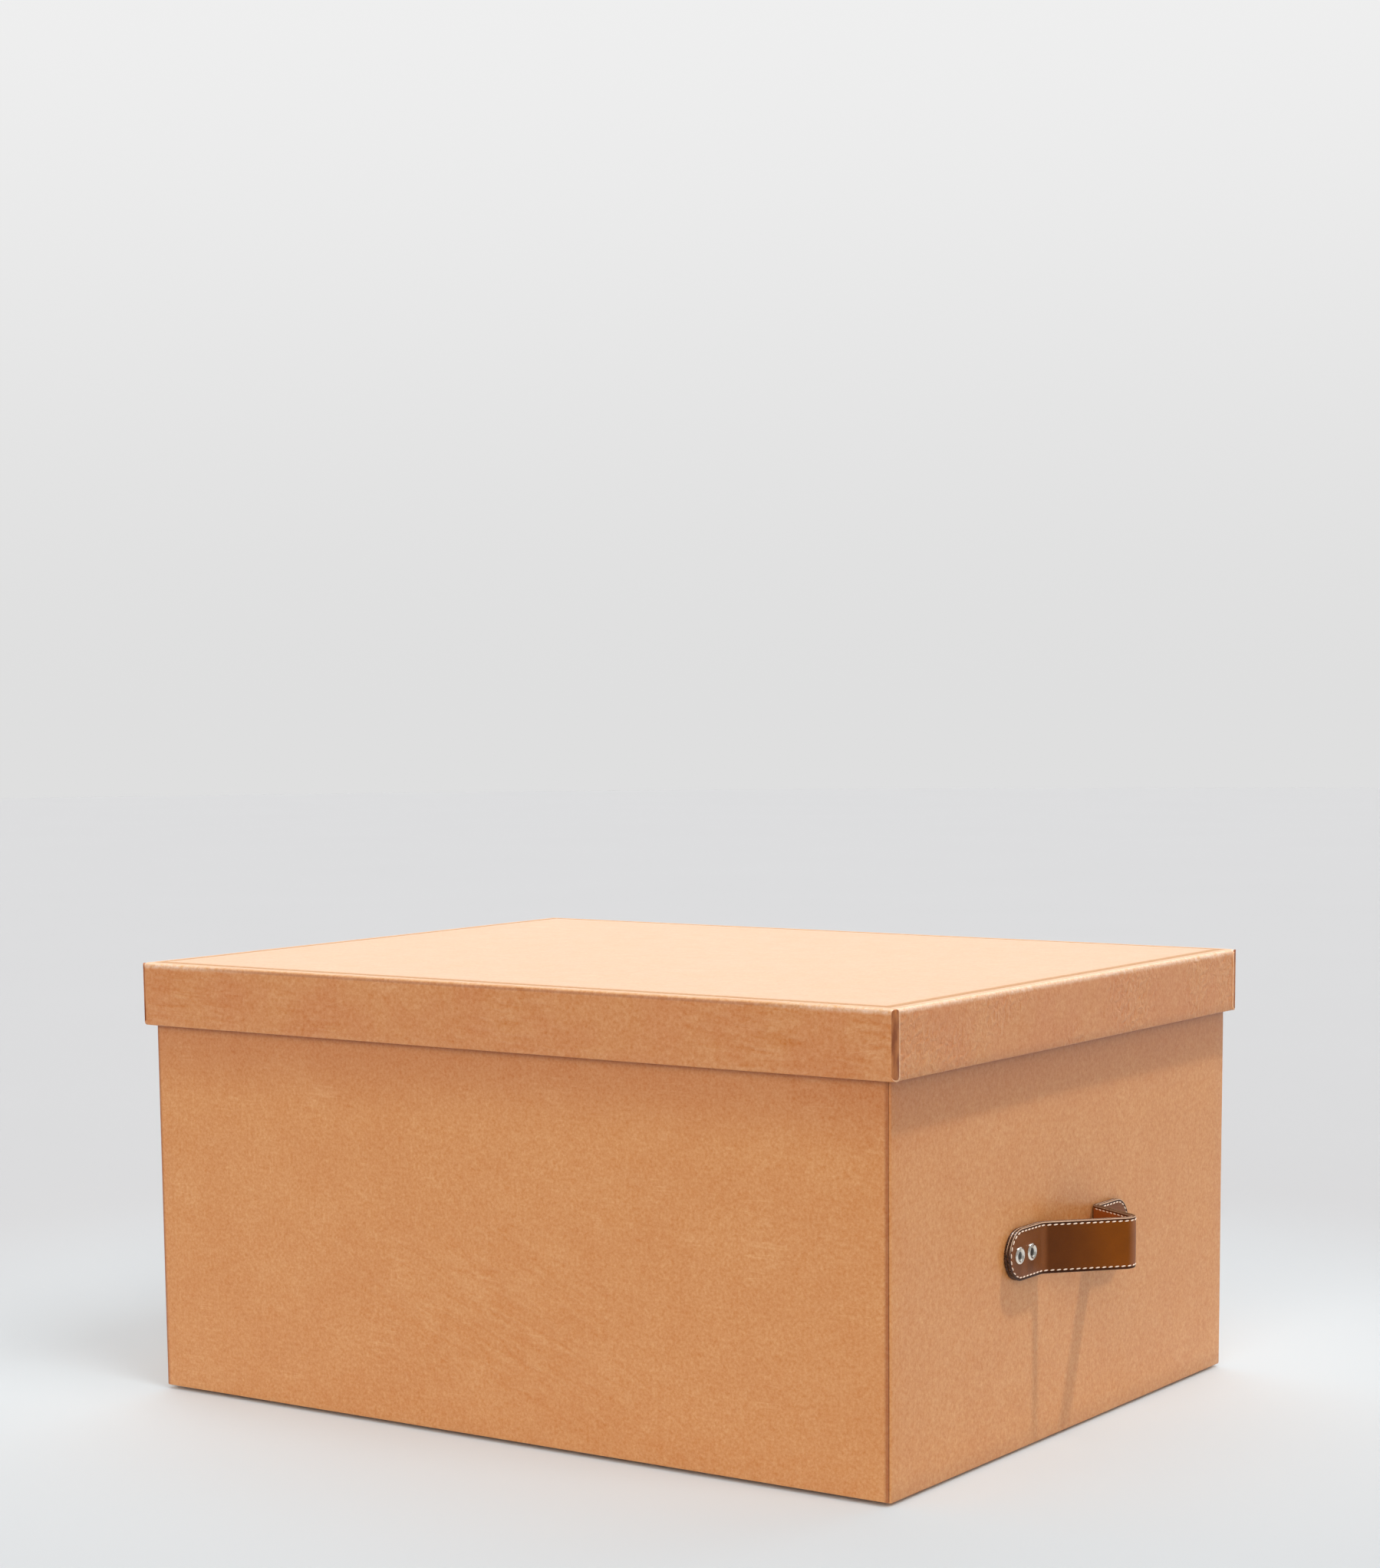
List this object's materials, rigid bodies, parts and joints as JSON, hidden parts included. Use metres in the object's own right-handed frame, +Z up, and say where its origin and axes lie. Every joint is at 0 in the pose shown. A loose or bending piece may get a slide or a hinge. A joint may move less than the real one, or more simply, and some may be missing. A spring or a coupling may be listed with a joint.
{
  "type": "archival box",
  "caption": "Rigid leather-covered archival box with a shallow lift-off lid and a stitched leather strap handle riveted to each end.",
  "frame": {"origin": "middle of the face that the box stands on", "axes": "+X along the box towards its right end, front faces -Y, +Z up towards the lid"},
  "size_m": [0.518, 0.353, 0.225],
  "materials": {
    "tan_leather": "natural vegetable-tanned leather, lightly waxed",
    "greyboard": "solid greyboard",
    "lining_cloth": "plain cotton lining cloth, glued",
    "strap_leather": "brown bridle leather, polished face",
    "strap_lining": "brown leather, flesh side out",
    "thread": "waxed off-white thread",
    "nickel": "nickel-plated steel",
    "edge_leather": "dark brown leather, burnished"
  },
  "bodies": {
    "box": {"base_leather": "tan_leather", "base_board": "greyboard", "base_lining": "lining_cloth", "front_board": "greyboard", "back_board": "greyboard", "left_board": "greyboard", "right_board": "greyboard", "front_leather": "tan_leather", "back_leather": "tan_leather", "left_leather": "tan_leather", "right_leather": "tan_leather", "front_lining": "lining_cloth", "back_lining": "lining_cloth", "left_lining": "lining_cloth", "right_lining": "lining_cloth", "left_handle_strap": "strap_leather", "left_handle_strap_lining": "strap_lining", "left_handle_stitching": "thread", "left_handle_rivets": "nickel", "left_handle_rivet_backs": "nickel", "right_handle_strap": "strap_leather", "right_handle_strap_lining": "strap_lining", "right_handle_stitching": "thread", "right_handle_rivets": "nickel", "right_handle_rivet_backs": "nickel"},
    "lid": {"lid_top_board": "greyboard", "lid_front_board": "greyboard", "lid_back_board": "greyboard", "lid_left_board": "greyboard", "lid_right_board": "greyboard", "lid_leather": "tan_leather", "lid_corner_strip_front_left": "edge_leather", "lid_corner_strip_front_right": "edge_leather", "lid_corner_strip_back_left": "edge_leather", "lid_corner_strip_back_right": "edge_leather", "lid_top_lining": "lining_cloth", "lid_front_lining": "lining_cloth", "lid_back_lining": "lining_cloth", "lid_left_lining": "lining_cloth", "lid_right_lining": "lining_cloth"}
  },
  "joints": [
    {"name": "lid_lift", "type": "slide", "parent": "box", "child": "lid", "axis": [0, 0, 1], "range_m": [0, 0.25]}
  ]
}
